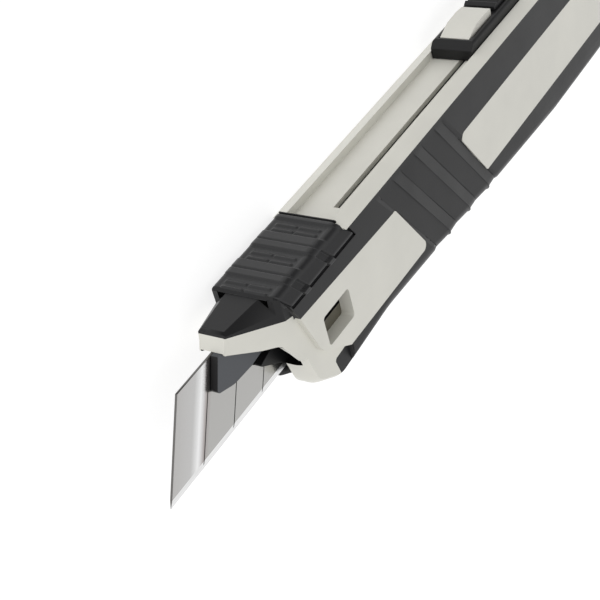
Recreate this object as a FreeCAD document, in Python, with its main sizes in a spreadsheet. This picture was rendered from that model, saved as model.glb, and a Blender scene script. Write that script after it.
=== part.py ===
import FreeCAD
import Part
import math
import os

import Sketcher
from FreeCAD import Vector

# Heavy-duty snap-off knife. Every piece is drawn in the blade's own frame: x runs back from the
# blade's tip, y is the height above the cutting edge, towards the slider, and z is the distance
# to the knife's left from the middle of the blade. One placement, shared by all pieces, then lays
# the knife on its right side: +X forward, +Y towards the cutting edge, +Z to the knife's left.

doc = FreeCAD.newDocument("UtilityKnife")
sizes = doc.addObject("Spreadsheet::Sheet", "Sizes")

DRIVING_SIZES = [
    # blade
    ("blade_length", 100.0), ("blade_width", 18.0), ("blade_thickness", 0.5),
    ("segment_pitch", 10.0), ("snap_angle", 60.0), ("bevel_height", 1.43), ("edge_land", 0.06),
    ("score_width", 0.3), ("score_depth", 0.1), ("blade_hole_radius", 1.8),
    # whole knife, with the blade out as it is stored
    ("overall_length", 202.0), ("half_thickness", 8.3), ("rail_height", 4.1),
    ("slider_rise", 4.0), ("edge_round", 4.0),
    ("belly_depth", 11.2), ("front_belly_depth", 6.2), ("lip_depth", 7.5), ("rear_depth", 9.0),
    ("belly_start", 66.0), ("belly_full", 150.0), ("belly_end", 180.0), ("cap_length", 8.0),
    ("belly_round", 40.0), ("belly_middle_round", 60.0), ("corner_round", 6.0),
    # nose and mouth
    ("nose_reach", 21.5), ("nose_rake", 1.7), ("nose_top", 3.7), ("chin_height", -0.2),
    ("nose_flat", 0.8), ("nose_round", 0.8), ("chin_round", 0.5),
    ("hood_rise", 9.8), ("hood_slope", 0.271), ("hood_lean", 0.295), ("hood_low", -5.5),
    ("core_front", 28.5), ("nose_half_width", 2.7), ("cheek_reach", 34.6), ("cheek_half_width", 7.15),
    ("cheek_back", 36.9), ("nose_flat_front", 2.2), ("nose_flat_back", 3.5), ("nose_bevel_back", 33.0),
    ("nose_bevel_side", 5.5), ("nose_bevel_drop", 1.9),
    ("arch_front", 28.8), ("arch_front_height", 13.6), ("arch_peak", 32.4),
    ("arch_peak_height", 12.0), ("arch_back", 36.4), ("arch_back_height", 5.1),
    ("arch_round", 3.0), ("arch_wall", 1.2), ("arch_hollow_low", 3.2), ("arch_hollow_high", -1.0),
    ("lip_front", 38.4), ("lip_front_depth", 2.9), ("lip_back", 46.0),
    ("lip_round", 5.0),
    ("mouth_half_width", 2.4), ("mouth_ceiling", 0.15), ("mouth_back", 43.0),
    # soft grip and thumb rest
    ("grip_layer", 1.3), ("thumb_front", 33.2), ("thumb_back", 57.0), ("thumb_height", 4.7),
    ("thumb_lead", 0.9), ("thumb_drop", 0.2), ("thumb_floor", 1.6), ("rubber_top", 2.8),
    ("thumb_bevel_side", 6.3), ("thumb_bevel_low", 0.9),
    # recessed track for the slider
    ("track_half_width", 5.15), ("rail_crest", 0.15), ("track_floor", 2.3), ("slot_near", 1.55),
    ("slot_far", 2.95), ("room_far", 3.6), ("slot_front", 63.6), ("slot_spare", 0.6), ("roof", 1.2),
    # window in the side of the nose
    ("window_front", 43.7), ("window_back", 53.2), ("window_low", 3.1), ("window_high", 9.9),
    ("window_depth", 2.9), ("window_round", 0.7),
    # panels that show through the grip
    ("front_panel_back", 74.0), ("front_panel_foot", 83.4), ("rear_panel_front", 102.8),
    ("rear_panel_foot", 112.4), ("rear_panel_back", 184.0), ("panel_low", 2.0),
    ("rear_panel_high", 12.1), ("panel_top_front", 14.8), ("panel_top_back", 13.3),
    ("panel_round", 1.3), ("panel_tight_round", 0.7), ("panel_lift", 0.3),
    ("ridge_front", 37.4), ("ridge_rake", 4.2), ("ridge_knee", 41.2), ("ridge_knee_height", 3.9),
    ("ridge_back", 50.5), ("ridge_round", 5.0), ("strip_front", 45.2), ("strip_rake", 1.3),
    # steel channel
    ("sheet", 0.8), ("blade_gap", 0.45), ("channel_front", 47.0), ("channel_back", 188.0),
    ("channel_lip_side", 1.9), ("channel_lip_height", 4.0), ("edge_gap", 0.4), ("spine_gap", 0.4),
    ("flange_reach", 0.5), ("notch_pitch", 5.0), ("notch_width", 2.2), ("notch_depth", 1.2),
    # blade guide
    ("guide_plate", 1.5), ("guide_gap", 0.2), ("guide_back", 46.0),
    ("block_front", 41.5), ("block_back", 58.0), ("block_low", 1.0), ("block_high", 13.0),
    ("block_side", 3.0), ("block_gap", 0.5), ("block_lap", 1.0), ("guide_foot_depth", 4.6),
    ("foot_length", 4.0), ("foot_step", 0.2), ("web_front", 26.0),
    ("step_side", 4.2), ("step_height", 5.7),
    ("toe_front", 18.0), ("toe_height", 12.4), ("toe_low", 11.7), ("toe_round", 0.3),
    ("plate_hollow", 22.6), ("plate_hollow_height", 10.2), ("plate_round", 6.0),
    ("slit_front", 28.2), ("slit_front_height", 9.8), ("slit_back", 38.0),
    ("slit_high", 10.9), ("slit_low", 9.6), ("jaw_front", 30.2), ("jaw_height", 7.7),
    ("jaw_knee", 36.2), ("jaw_knee_height", 3.8), ("jaw_round", 8.0), ("jaw_back", 40.2),
    # carrier and slider
    ("carrier_thickness", 1.2), ("carrier_gap", 0.15), ("carrier_front", 96.5),
    ("carrier_back", 144.0), ("carrier_low", 1.5), ("carrier_high", -0.8), ("peg_radius", 1.6),
    ("carrier_taper", 3.0), ("carrier_tip", 4.0), ("peg_head_radius", 2.4), ("peg_head", 0.5),
    ("slider_front", 119.5), ("slider_length", 26.0), ("slider_height", 4.0),
    ("slider_clearance", 0.2), ("leg_front", 124.0), ("leg_back", 143.0),
    ("neck_near", 1.75), ("neck_far", 2.75), ("leg_far", 3.4), ("foot_low", 8.0), ("rivet_radius", 1.2),
    ("rivet_height", 12.0), ("rivet_head", 0.5), ("rivet_head_radius", 1.9),
    ("front_rivet_inset", 4.0), ("rear_rivet_inset", 5.0), ("slider_lead", 1.6), ("slider_tail", 1.0),
    ("push_out", 50.0), ("draw_back", 42.0), ("button_travel", 1.2), ("button_front", 121.8),
    ("button_length", 11.4),
    ("button_half_width", 3.5), ("button_seat", 3.4), ("button_gap", 0.3), ("button_lead", 1.6),
    ("button_rise", 4.0), ("button_dip", 0.2), ("button_tail", 3.0), ("stem_radius", 0.5),
    ("stem_reach", 123.0), ("stem_side", 2.25), ("pad_front", 134.6), ("pad_inset", 1.4),
    ("pad_thickness", 1.0), ("pad_ridge", 0.6), ("coil_side", 2.2), ("coil_reach", 129.0),
    ("coil_radius", 0.75), ("coil_wire", 0.16), ("coil_bore", 0.98), ("coil_seat", 2.8),
    ("coil_pitch", 0.85),
    ("leaf", 0.3), ("leaf_front", 118.0), ("leaf_side", 0.5), ("leaf_far", 0.95), ("leaf_nose_reach", 120.2),
    ("leaf_gap", 0.3), ("leaf_nose_foot", 0.8), ("leaf_nose_tip", 0.25), ("leaf_nose_rise", 1.2),
    # fasteners and cap
    ("screw_radius", 1.3), ("screw_head_radius", 2.2), ("screw_head", 1.7), ("screw_well", 2.0),
    ("screw_end", 5.2), ("front_screw", 118.0), ("middle_screw", 150.0), ("rear_screw", 178.0),
    ("front_screw_depth", 5.0), ("screw_depth", 6.0), ("recess_reach", 1.6), ("recess_half_width", 0.3),
    ("recess_depth", 0.8), ("dowel_radius", 1.0), ("dowel_half_length", 4.5),
    ("front_dowel", 60.0), ("front_dowel_depth", 3.1), ("rear_dowel", 94.0), ("rear_dowel_depth", 3.6),
    ("guide_dowel_reach", 44.6), ("guide_dowel_depth", 2.9),
    ("plug_length", 4.5), ("fit_gap", 0.1), ("cap_gap", 0.15), ("clip", 0.4), ("clip_inset", 0.8),
    ("clip_low", 5.0), ("clip_high", 13.0), ("lanyard_radius", 1.8), ("lanyard_inset", 3.9),
    ("lanyard_depth", 2.4), ("snap_slot", 1.0), ("snap_slot_depth", 3.5), ("snap_slot_low", 3.0),
]
for row, (alias, value) in enumerate(DRIVING_SIZES, start=1):
    sizes.set(f"A{row}", alias)
    sizes.set(f"B{row}", str(value))
    sizes.setAlias(f"B{row}", alias)
doc.recompute()
ALIASES = {alias for alias, value in DRIVING_SIZES}

# heights that are measured up from the blade's spine, so that a wider blade lifts them all
OVER_SPINE = {
    "roof", "track_floor", "rail_height", "nose_top", "chin_height", "thumb_height", "thumb_floor",
    "rubber_top", "thumb_bevel_low", "mouth_ceiling", "carrier_high", "button_seat", "coil_seat",
    "arch_hollow_high", "hood_rise", "hood_low",
}

DEEP = 60.0  # longer than any cut has to be
PROUD = 1.0  # how far a cutter starts outside the face that it cuts
KISS = 0.05  # the same where a cutter leaves at a shallow angle


def size(alias):
    """The present value of a driving size; a height over the spine is given over the edge."""
    value = float(getattr(sizes, alias))
    return value + float(sizes.blade_width) if alias in OVER_SPINE else value


def place_in_knife(piece):
    """Lay a finished piece on the knife's right side with all the others."""
    piece.Placement = FreeCAD.Placement(Vector(0, 0, 0), FreeCAD.Rotation(Vector(0, 0, 1), 180))
    piece.setExpression("Placement.Base.x", "Sizes.overall_length / 2")
    rise = "( rail_height + slider_rise - belly_depth ) / 2"
    piece.setExpression("Placement.Base.y", sheet_terms(rise))
    piece.setExpression("Placement.Base.z", "Sizes.half_thickness")


# ---------------------------------------------------------------- PartDesign helpers

def sheet_terms(expression):
    """Write plain size names as references to the spreadsheet."""
    words = []
    for word in str(expression).split():
        if word in OVER_SPINE:
            word = f"( Sizes.blade_width + Sizes.{word} )"
        elif word in ALIASES:
            word = "Sizes." + word
        words.append(word)
    return " ".join(words)


def new_body(label):
    body = doc.addObject("PartDesign::Body", label)
    body.Label = label
    place_in_knife(body)
    return body


def new_sketch(body, role, lift="0"):
    """A sketch on one of the body's origin planes, lifted along the plane's normal."""
    plane = next(each for each in body.Origin.OriginFeatures if each.Role == role)
    sketch = body.newObject("Sketcher::SketchObject", body.Label + "_sketch")
    sketch.AttachmentSupport = [(plane, "")]
    sketch.MapMode = "FlatFace"
    sketch.setExpression("AttachmentOffset.Base.z", sheet_terms(lift))
    return sketch


def number(sketch, expression):
    return float(sketch.evalExpression(sheet_terms(expression)))


def draw_outline(sketch, corners):
    """A closed outline whose corners are held at expressions of the driving sizes."""
    first = sketch.GeometryCount
    places = [Vector(number(sketch, across), number(sketch, up), 0) for across, up in corners]
    count = len(places)
    for index in range(count):
        line = Part.LineSegment(places[index], places[(index + 1) % count])
        sketch.addGeometry(line, False)
    for index in range(count):
        follower = first + (index + 1) % count
        sketch.addConstraint(Sketcher.Constraint("Coincident", first + index, 2, follower, 1))
    for index, (across, up) in enumerate(corners):
        bind(sketch, "DistanceX", first + index, 1, places[index].x, across)
        bind(sketch, "DistanceY", first + index, 1, places[index].y, up)


def bind(sketch, kind, geometry, point, value, expression):
    """Hold one coordinate of a point, from the sketch's origin, at an expression."""
    constraint = sketch.addConstraint(Sketcher.Constraint(kind, -1, 1, geometry, point, value))
    sketch.setExpression(f"Constraints[{constraint}]", sheet_terms(expression))


def draw_circle(sketch, across, up, radius):
    place = Vector(number(sketch, across), number(sketch, up), 0)
    circle = Part.Circle(place, Vector(0, 0, 1), number(sketch, radius))
    index = sketch.addGeometry(circle, False)
    bind(sketch, "DistanceX", index, 3, place.x, across)
    bind(sketch, "DistanceY", index, 3, place.y, up)
    constraint = sketch.addConstraint(Sketcher.Constraint("Radius", index, number(sketch, radius)))
    sketch.setExpression(f"Constraints[{constraint}]", sheet_terms(radius))


def draw_box(sketch, left, low, right, high):
    draw_outline(sketch, [(left, low), (right, low), (right, high), (left, high)])


def pad(body, sketch, length):
    feature = body.newObject("PartDesign::Pad", body.Label + "_block")
    feature.Profile = sketch
    feature.setExpression("Length", sheet_terms(length))
    doc.recompute()
    return feature


def pocket(body, sketch, length):
    """Cut along the sketch's normal, and make sure that something was cut."""
    before = body.Shape.Volume
    feature = body.newObject("PartDesign::Pocket", body.Label + "_pocket")
    feature.Profile = sketch
    feature.Reversed = True
    feature.setExpression("Length", sheet_terms(length))
    doc.recompute()
    if not body.Shape.Volume < before - 1e-6:
        raise RuntimeError(body.Label + ": a pocket cuts nothing")
    return feature


def repeat_along_x(body, feature, pitch, count):
    """Repeat a feature backwards along the knife."""
    pattern = body.newObject("PartDesign::LinearPattern", body.Label + "_pattern")
    pattern.Originals = [feature]
    axis = next(each for each in body.Origin.OriginFeatures if each.Role == "X_Axis")
    pattern.Direction = (axis, [""])
    pattern.Mode = "Spacing"
    pattern.setExpression("Offset", sheet_terms(pitch))
    pattern.Occurrences = count
    body.Tip = pattern
    doc.recompute()
    return pattern


def soften(body, wanted, radius):
    """Round the edges that the test picks."""
    base = body.Tip
    names = [f"Edge{place}" for place, edge in enumerate(base.Shape.Edges, start=1) if wanted(edge)]
    feature = body.newObject("PartDesign::Fillet", body.Label + "_fillet")
    feature.Base = (base, names)
    feature.setExpression("Radius", sheet_terms(radius))
    doc.recompute()
    return feature


# ---------------------------------------------------------------- shape helpers

def onto_side(across, up, lift):
    return Vector(across, up, lift)


def onto_end(across, up, lift):
    return Vector(lift, across, up)


def onto_plan(across, up, lift):
    return Vector(across, lift, up)


def prism(view, corners, low, high):
    """A solid with an outline of (across, up, radius) corners, each rounded by its radius."""
    edges = []
    joins = []
    count = len(corners)
    for index, (across, up, radius) in enumerate(corners):
        here = view(across, up, low)
        to_before = (view(*corners[index - 1][:2], low) - here).normalize()
        to_after = (view(*corners[(index + 1) % count][:2], low) - here).normalize()
        if radius == 0:
            joins.append((here, here))
            continue
        half_angle = to_before.getAngle(to_after) / 2
        start = here + to_before * (radius / math.tan(half_angle))
        end = here + to_after * (radius / math.tan(half_angle))
        inward = (to_before + to_after).normalize()
        middle = here + inward * (radius / math.sin(half_angle) - radius)
        edges.append(Part.Arc(start, middle, end).toShape())
        joins.append((start, end))
    for index in range(count):
        start, end = joins[index][1], joins[(index + 1) % count][0]
        if start.distanceToPoint(end) > 1e-6:
            edges.append(Part.LineSegment(start, end).toShape())
    wire = Part.Wire(Part.__sortEdges__(edges))
    return Part.Face(wire).extrude(view(0, 0, high) - view(0, 0, low))


def brick(x_low, x_high, y_low, y_high, z_low, z_high):
    corner = Vector(x_low, y_low, z_low)
    return Part.makeBox(x_high - x_low, y_high - y_low, z_high - z_low, corner)


def rod(reach, height, radius, low, high):
    """A round bar across the knife."""
    return Part.makeCylinder(radius, high - low, Vector(reach, height, low), Vector(0, 0, 1))


def mirrored(shape):
    return shape.mirror(Vector(0, 0, 0), Vector(0, 0, 1))


def keep_shape(label, shape):
    piece = doc.addObject("Part::Feature", label)
    piece.Label = label
    piece.Shape = shape
    place_in_knife(piece)
    return piece


# ---------------------------------------------------------------- outer form of one half

shell_back = size("overall_length") - size("cap_length")
half = size("half_thickness")
nose_start = size("nose_reach") + size("nose_flat")
rails = size("rail_height")


def side_outline(inset):
    """The knife's side view, without the thumb rest, drawn in by an inset at the bottom."""
    back = size("overall_length")
    lead = size("thumb_lead")
    return [
        (size("arch_back") + inset, size("arch_back_height"), 0),
        (size("lip_front") + inset, -size("lip_front_depth"), size("lip_round")),
        (size("lip_back"), -size("lip_depth") + inset, size("corner_round")),
        (size("belly_start"), -size("front_belly_depth") + inset, size("belly_round")),
        (size("belly_full"), -size("belly_depth") + inset, size("belly_middle_round")),
        (size("belly_end"), -size("belly_depth") + inset, size("belly_round")),
        (back, -size("rear_depth") + inset, size("corner_round")),
        (back, rails, 0),
        (size("thumb_back"), rails, 0),
        (size("thumb_back"), size("thumb_height"), 0),
        (size("thumb_front") + lead, size("thumb_height") - size("thumb_drop"), lead / 2),
        (size("thumb_front"), size("nose_top"), 0),
        (size("nose_reach") + size("nose_rake"), size("nose_top"), size("nose_round")),
        (size("nose_reach"), size("chin_height"), size("chin_round")),
        (size("arch_front"), size("arch_front_height"), size("arch_round")),
        (size("arch_peak"), size("arch_peak_height"), size("arch_round")),
    ]


def belly_outline(inset):
    """The lip, belly and rear end alone, carried straight up past the rails."""
    corners = side_outline(inset)[:8]
    lip_rise = size("lip_front_depth") + size("arch_back_height")
    lip_slope = (size("lip_front") - size("arch_back")) / lip_rise
    corners[0] = (corners[0][0] - lip_slope * (DEEP - size("arch_back_height")), DEEP, 0)
    corners[-1] = (corners[-1][0], DEEP, 0)
    return corners


def belly_form(inset, side, radius):
    """A solid whose outer edge is rounded from the lip, along the belly and up the rear end."""
    solid = prism(onto_side, belly_outline(inset), 0, side)
    outer = [edge for edge in solid.Edges
             if edge.BoundBox.ZMin > side - 1e-3 and edge.BoundBox.YMin < DEEP - 1e-3]
    return solid.makeFillet(radius, outer)


def half_form():
    """Left half of the knife's outer form, grip and end cap included."""
    outline = prism(onto_side, side_outline(0), 0, half)
    hood = brick(0, size("lip_front"), size("arch_back_height"), DEEP, 0, half)
    solid = outline.common(belly_form(0, half, size("edge_round")).fuse(hood))
    wide = half + PROUD
    snout = [
        (0, size("nose_half_width"), 0),
        (nose_start, size("nose_half_width"), 0),
        (size("cheek_reach"), size("cheek_half_width"), 0),
        (size("cheek_reach"), wide, 0),
        (0, wide, 0),
    ]
    above = size("thumb_height") + PROUD
    ridge = [
        (0, above, 0),
        (size("ridge_front") - size("ridge_rake"), above, 0),
        (size("ridge_front"), size("panel_top_front"), 0),
        (size("ridge_knee"), size("ridge_knee_height"), size("ridge_round")),
        (size("ridge_back"), -size("panel_low"), 0),
        (size("ridge_back"), -DEEP, 0),
        (0, -DEEP, 0),
    ]
    rail_crest = size("track_half_width") + size("rail_crest")
    rail_slope = [
        (rails, rail_crest, 0),
        (size("rubber_top"), half + KISS, 0),
        (rails + PROUD, wide, 0),
        (rails + PROUD, rail_crest, 0),
    ]
    bevel_drop = size("thumb_height") - size("thumb_bevel_low")
    bevel_slope = (half + KISS - size("thumb_bevel_side")) / bevel_drop
    thumb_bevel = [
        (above, size("thumb_bevel_side") - bevel_slope * PROUD, 0),
        (size("thumb_bevel_low"), half + KISS, 0),
        (above, wide, 0),
    ]
    solid = solid.cut(prism(onto_plan, snout, -DEEP, DEEP)).cut(nose_bevel())
    solid = solid.cut(prism(onto_side, ridge, size("cheek_half_width"), wide))
    solid = solid.cut(prism(onto_end, rail_slope, size("thumb_back"), size("overall_length") + PROUD))
    return solid.cut(prism(onto_end, thumb_bevel, 0, size("thumb_back")))


def nose_bevel():
    """What the slanting cut along the nose's top edge takes away."""
    front, back, top = size("nose_reach"), size("nose_bevel_back"), size("nose_top")
    near, far = Vector(front, top, size("nose_flat_front")), Vector(back, top, size("nose_flat_back"))
    low = Vector(back, top - size("nose_bevel_drop"), size("nose_bevel_side"))
    along, across = (far - near).normalize(), (low - far).normalize()
    start, reach = near - along * half - across * half, (back - front) + 2 * half
    end, width = start + along * reach, across * 3 * half
    flat = [start, end, end + width, start + width]
    out = along.cross(across)
    if out.z < 0:
        out = -out
    slab = Part.Face(Part.makePolygon(flat + flat[:1])).extrude(out * half)
    return slab.common(brick(0, size("thumb_front"), 0, top + PROUD, 0, half + PROUD))


form = half_form()
in_shell = brick(0, shell_back, -DEEP, DEEP, -PROUD, half + PROUD)
shell_form = form.common(in_shell)
cap_form = form.cut(in_shell)


# ---------------------------------------------------------------- soft grip and shell, left half

def nose_cream():
    """Everything under the top edge of the hood, which is level across the nose's front."""
    def top(reach, side):
        lean = size("hood_lean") * max(side, size("nose_half_width"))
        return Vector(reach, size("hood_rise") - size("hood_slope") * reach - lean, side)

    front, back, middle = 0.0, size("cheek_back"), size("nose_half_width")
    strips = []
    for near, far in ((-PROUD, middle), (middle, half + PROUD)):
        corners = [top(front, near), top(back, near), top(back, far), top(front, far)]
        face = Part.Face(Part.makePolygon(corners + corners[:1]))
        strips.append(face.extrude(Vector(0, -DEEP, 0)))
    return strips[0].fuse(strips[1])


def front_panel():
    low = -size("panel_low")
    outline = [
        (0, size("panel_top_front"), 0),
        (size("ridge_front"), size("panel_top_front"), 0),
        (size("front_panel_back"), size("panel_top_back"), size("panel_tight_round")),
        (size("front_panel_foot"), low, size("panel_round")),
        (size("ridge_back"), low + size("panel_lift"), size("ridge_round")),
        (size("strip_front"), low, size("panel_tight_round")),
        (size("strip_front") + size("strip_rake"), -size("lip_depth"), 0),
        (size("strip_front") + size("strip_rake"), -DEEP, 0),
        (0, -DEEP, 0),
    ]
    return prism(onto_side, outline, 0, half + PROUD)


def rear_panel():
    low = -size("panel_low") - size("panel_lift")
    outline = [
        (size("rear_panel_front"), size("rear_panel_high"), size("panel_round")),
        (size("rear_panel_back"), size("rear_panel_high"), size("panel_round")),
        (size("rear_panel_back"), low, size("panel_round")),
        (size("rear_panel_foot"), low, size("panel_tight_round")),
    ]
    return prism(onto_side, outline, 0, half + PROUD)


def shell_core():
    """The hard shell under the soft grip."""
    layer = size("grip_layer")
    core = belly_form(layer, half - layer, size("edge_round") - layer)
    core = core.fuse(brick(0, size("lip_front"), size("hood_low"), DEEP, 0, half - layer))
    over_floor = brick(0, size("thumb_back"), size("thumb_floor"), DEEP, -PROUD, half + PROUD)
    behind_arch = brick(size("cheek_reach"), shell_back, -DEEP, DEEP, -PROUD, half + PROUD)
    slope = (size("cheek_half_width") - size("nose_half_width")) / (size("cheek_reach") - nose_start)
    core_side = size("nose_half_width") + slope * (size("core_front") - nose_start) - layer
    hood = [
        (size("core_front"), -PROUD, 0), (size("core_front"), core_side, 0),
        (size("cheek_reach"), size("cheek_half_width") - layer, 0), (size("cheek_reach"), -PROUD, 0),
    ]
    over_nose = prism(onto_plan, hood, size("hood_low"), DEEP)
    return core.cut(over_floor).common(behind_arch.fuse(over_nose)).common(shell_form)


rail_zone = brick(size("thumb_back"), shell_back + PROUD, size("rubber_top"), DEEP, -PROUD, half + PROUD)
cream_zone = nose_cream().fuse([front_panel(), rear_panel(), rail_zone])
core = shell_core()
cream_half = core.fuse(shell_form.common(cream_zone))
rubber_half = shell_form.cut(cream_half)


# ---------------------------------------------------------------- room inside the shells

web_side = -(size("blade_thickness") / 2 + size("blade_gap"))
channel_low = -size("edge_gap") - size("sheet")
slot_back = size("leg_back") + size("draw_back") + size("slot_spare")
bore_side = size("room_far")
guide_side = size("blade_thickness") / 2 + size("guide_gap") + size("guide_plate")
block_far = half - size("window_depth")
foot_front = size("guide_back") - size("foot_length")


def inner_room():
    mouth = size("mouth_half_width")
    room = brick(0, size("mouth_back"), -DEEP, size("mouth_ceiling"), -mouth, mouth)
    return room.fuse([
        brick(size("web_front"), size("channel_front"), channel_low, size("roof"), -guide_side, guide_side),
        brick(foot_front, size("guide_back"), -size("guide_foot_depth"), 0, -guide_side, guide_side),
        brick(size("guide_back") + size("block_gap"), shell_back + PROUD, channel_low, size("roof"),
              web_side - size("sheet"), bore_side),
        brick(size("slot_front"), slot_back, size("roof") - PROUD, DEEP, size("slot_near"), size("slot_far")),
        brick(size("thumb_back"), shell_back + PROUD, size("track_floor"), DEEP,
              -size("track_half_width"), size("track_half_width")),
        brick(size("block_front"), size("block_back"), size("block_low"), size("block_high"),
              0, block_far),
        arch_hollow(),
    ])


def arch_hollow():
    """Room behind the mouth's arch, which leaves only a thin wall outside it."""
    wall, mouth = size("arch_wall"), size("mouth_half_width")
    lean = (size("cheek_half_width") - size("nose_half_width")) / (size("cheek_reach") - nose_start)
    tip = nose_start + (mouth + wall - size("nose_half_width")) / lean
    back, far = size("block_front") - size("fit_gap"), size("cheek_half_width") - wall
    outline = [(tip, mouth, 0), (size("cheek_reach"), far, 0), (back, far, 0), (back, mouth, 0)]
    one_side = prism(onto_plan, outline, size("arch_hollow_low"), size("arch_hollow_high"))
    return one_side.fuse(mirrored(one_side))


def window(side_low, side_high):
    front, back = size("window_front"), size("window_back")
    low, high, corner = size("window_low"), size("window_high"), size("window_round")
    outline = [(front, low, corner), (back, low, corner), (back, high, corner), (front, high, corner)]
    return prism(onto_side, outline, side_low, side_high)


# reach, and depth under the cutting edge, of each screw and dowel
SCREW_PLACES = [("front_screw", "front_screw_depth"), ("middle_screw", "screw_depth"),
                ("rear_screw", "screw_depth")]
SHELL_DOWEL_PLACES = [("front_dowel", "front_dowel_depth"), ("rear_dowel", "rear_dowel_depth")]
GUIDE_DOWEL_PLACES = [("guide_dowel_reach", "guide_dowel_depth")]


def dowels(places):
    half_length = size("dowel_half_length")
    bars = []
    for reach, depth in places:
        bars.append(rod(size(reach), -size(depth), size("dowel_radius"), -half_length, half_length))
    return Part.makeCompound(bars)


def screw(reach, depth):
    """Pan-head screw with a cross recess."""
    seat = size("screw_well") - half
    top = seat - size("screw_head")
    long, short = size("recess_reach"), size("recess_half_width")
    shank = rod(reach, -depth, size("screw_radius"), seat, size("screw_end"))
    head = rod(reach, -depth, size("screw_head_radius"), top, seat)
    floor = top + size("recess_depth")
    across = brick(reach - long, reach + long, -depth - short, -depth + short, top - PROUD, floor)
    upright = brick(reach - short, reach + short, -depth - long, -depth + long, top - PROUD, floor)
    return shank.fuse(head).cut(across.fuse(upright)).removeSplitter()


def screw_room():
    """Shank holes through both shells, and the wells that the heads sit in."""
    bars = []
    seat, well = size("screw_well") - half, size("screw_head_radius") + size("fit_gap")
    for reach, depth in SCREW_PLACES:
        bars.append(rod(size(reach), -size(depth), size("screw_radius"), seat, size("screw_end")))
        bars.append(rod(size(reach), -size(depth), well, -DEEP, seat))
    return Part.makeCompound(bars)


room = inner_room()
all_dowels = dowels(SHELL_DOWEL_PLACES + GUIDE_DOWEL_PLACES)
left_room = [room, window(block_far - PROUD, half + PROUD), all_dowels, screw_room()]
right_room = [room, window(-half - PROUD, -block_far), all_dowels, screw_room()]
keep_shape("left_shell", cream_half.cut(left_room).removeSplitter())
keep_shape("right_shell", mirrored(cream_half).cut(right_room).removeSplitter())
keep_shape("left_grip", rubber_half.cut(left_room))
keep_shape("right_grip", mirrored(rubber_half).cut(right_room))
screws = [screw(size(reach), size(depth)) for reach, depth in SCREW_PLACES]
keep_shape("case_screws", Part.makeCompound(screws))
keep_shape("shell_dowels", dowels(SHELL_DOWEL_PLACES))
keep_shape("guide_dowel", dowels(GUIDE_DOWEL_PLACES))


# ---------------------------------------------------------------- blade guide

def blade_guide():
    """Folded guide: plates beside the blade, a web over its spine, a foot and the window's block."""
    near = guide_side - size("guide_plate")
    back, ceiling = size("guide_back"), size("mouth_ceiling")
    foot_start = foot_front + size("foot_step")
    behind_foot = [(foot_start, channel_low, 0), (back, channel_low, 0), (back, ceiling, 0)]
    left_outline = [
        (size("nose_reach") - size("nose_flat"), ceiling, 0),
        (size("toe_front"), size("toe_height"), size("toe_round")),
        (size("toe_front") + size("toe_round"), size("toe_low"), size("toe_round")),
        (size("plate_hollow"), size("plate_hollow_height"), size("plate_round")),
        (size("slit_front"), size("slit_front_height"), 0),
        (size("slit_back"), size("slit_high"), 0),
        (size("slit_back"), size("slit_low"), 0),
        (size("jaw_front"), size("jaw_height"), size("toe_round")),
        (size("jaw_knee"), size("jaw_knee_height"), size("jaw_round")),
        (size("jaw_back"), 0, size("plate_round")),
    ]
    right_outline = [
        (size("web_front"), ceiling, 0),
        (size("arch_peak"), size("arch_peak_height"), 0),
        (size("jaw_back"), 0, 0),
    ]
    left_plate = prism(onto_side, left_outline + behind_foot, near, guide_side)
    right_plate = prism(onto_side, right_outline + behind_foot, -guide_side, -near)
    low, high, step = size("block_low"), size("block_high"), size("step_height")
    pieces = [
        right_plate,
        brick(size("web_front"), back, ceiling, size("roof"), -guide_side, guide_side),
        brick(foot_front, back, -size("guide_foot_depth"), channel_low, -guide_side, guide_side),
        brick(size("block_front"), back, low, high, near + size("block_lap"), size("block_side")),
        brick(size("block_front"), size("block_back"), low, high, size("block_side"), size("step_side")),
        brick(size("block_front"), size("block_back"), low, step, size("step_side"), block_far),
    ]
    return left_plate.fuse(pieces).removeSplitter().cut(all_dowels)


keep_shape("blade_guide", blade_guide())


# ---------------------------------------------------------------- blade

def build_blade():
    blade = new_body("blade")
    lean = "/ tan( snap_angle )"
    outline = new_sketch(blade, "XY_Plane", "-1 * blade_thickness / 2")
    draw_outline(outline, [
        ("0", "0"), ("blade_length", "0"),
        ("blade_length + blade_width " + lean, "blade_width"), ("blade_width " + lean, "blade_width"),
    ])
    pad(blade, outline, "blade_thickness")
    hole = new_sketch(blade, "XY_Plane", "-1 * blade_thickness")
    draw_circle(hole, PEG_REACH, "blade_width / 2", "blade_hole_radius")
    pocket(blade, hole, "2 * blade_thickness")
    for turn in ("1", "-1"):
        bevel = new_sketch(blade, "YZ_Plane", "-1")
        draw_outline(bevel, [
            ("-1", turn + " * edge_land / 2"), ("0", turn + " * edge_land / 2"),
            ("bevel_height", turn + " * blade_thickness / 2"),
            ("bevel_height", turn + " * blade_thickness"), ("-1", turn + " * blade_thickness"),
        ])
        pocket(blade, bevel, "blade_length + 2 * blade_width")
    score = new_sketch(blade, "XY_Plane", "blade_thickness / 2 - score_depth")
    rise = " + blade_width " + lean
    draw_outline(score, [
        ("segment_pitch", "0"), ("segment_pitch + score_width", "0"),
        ("segment_pitch + score_width" + rise, "blade_width"), ("segment_pitch" + rise, "blade_width"),
    ])
    groove = pocket(blade, score, "2 * score_depth")
    repeat_along_x(blade, groove, "segment_pitch", SEGMENTS - 1)


SEGMENTS = round(size("blade_length") / size("segment_pitch"))
PEG_REACH = "blade_length - segment_pitch / 2 + blade_width / 2 / tan( snap_angle )"
build_blade()


# ---------------------------------------------------------------- steel channel

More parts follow.
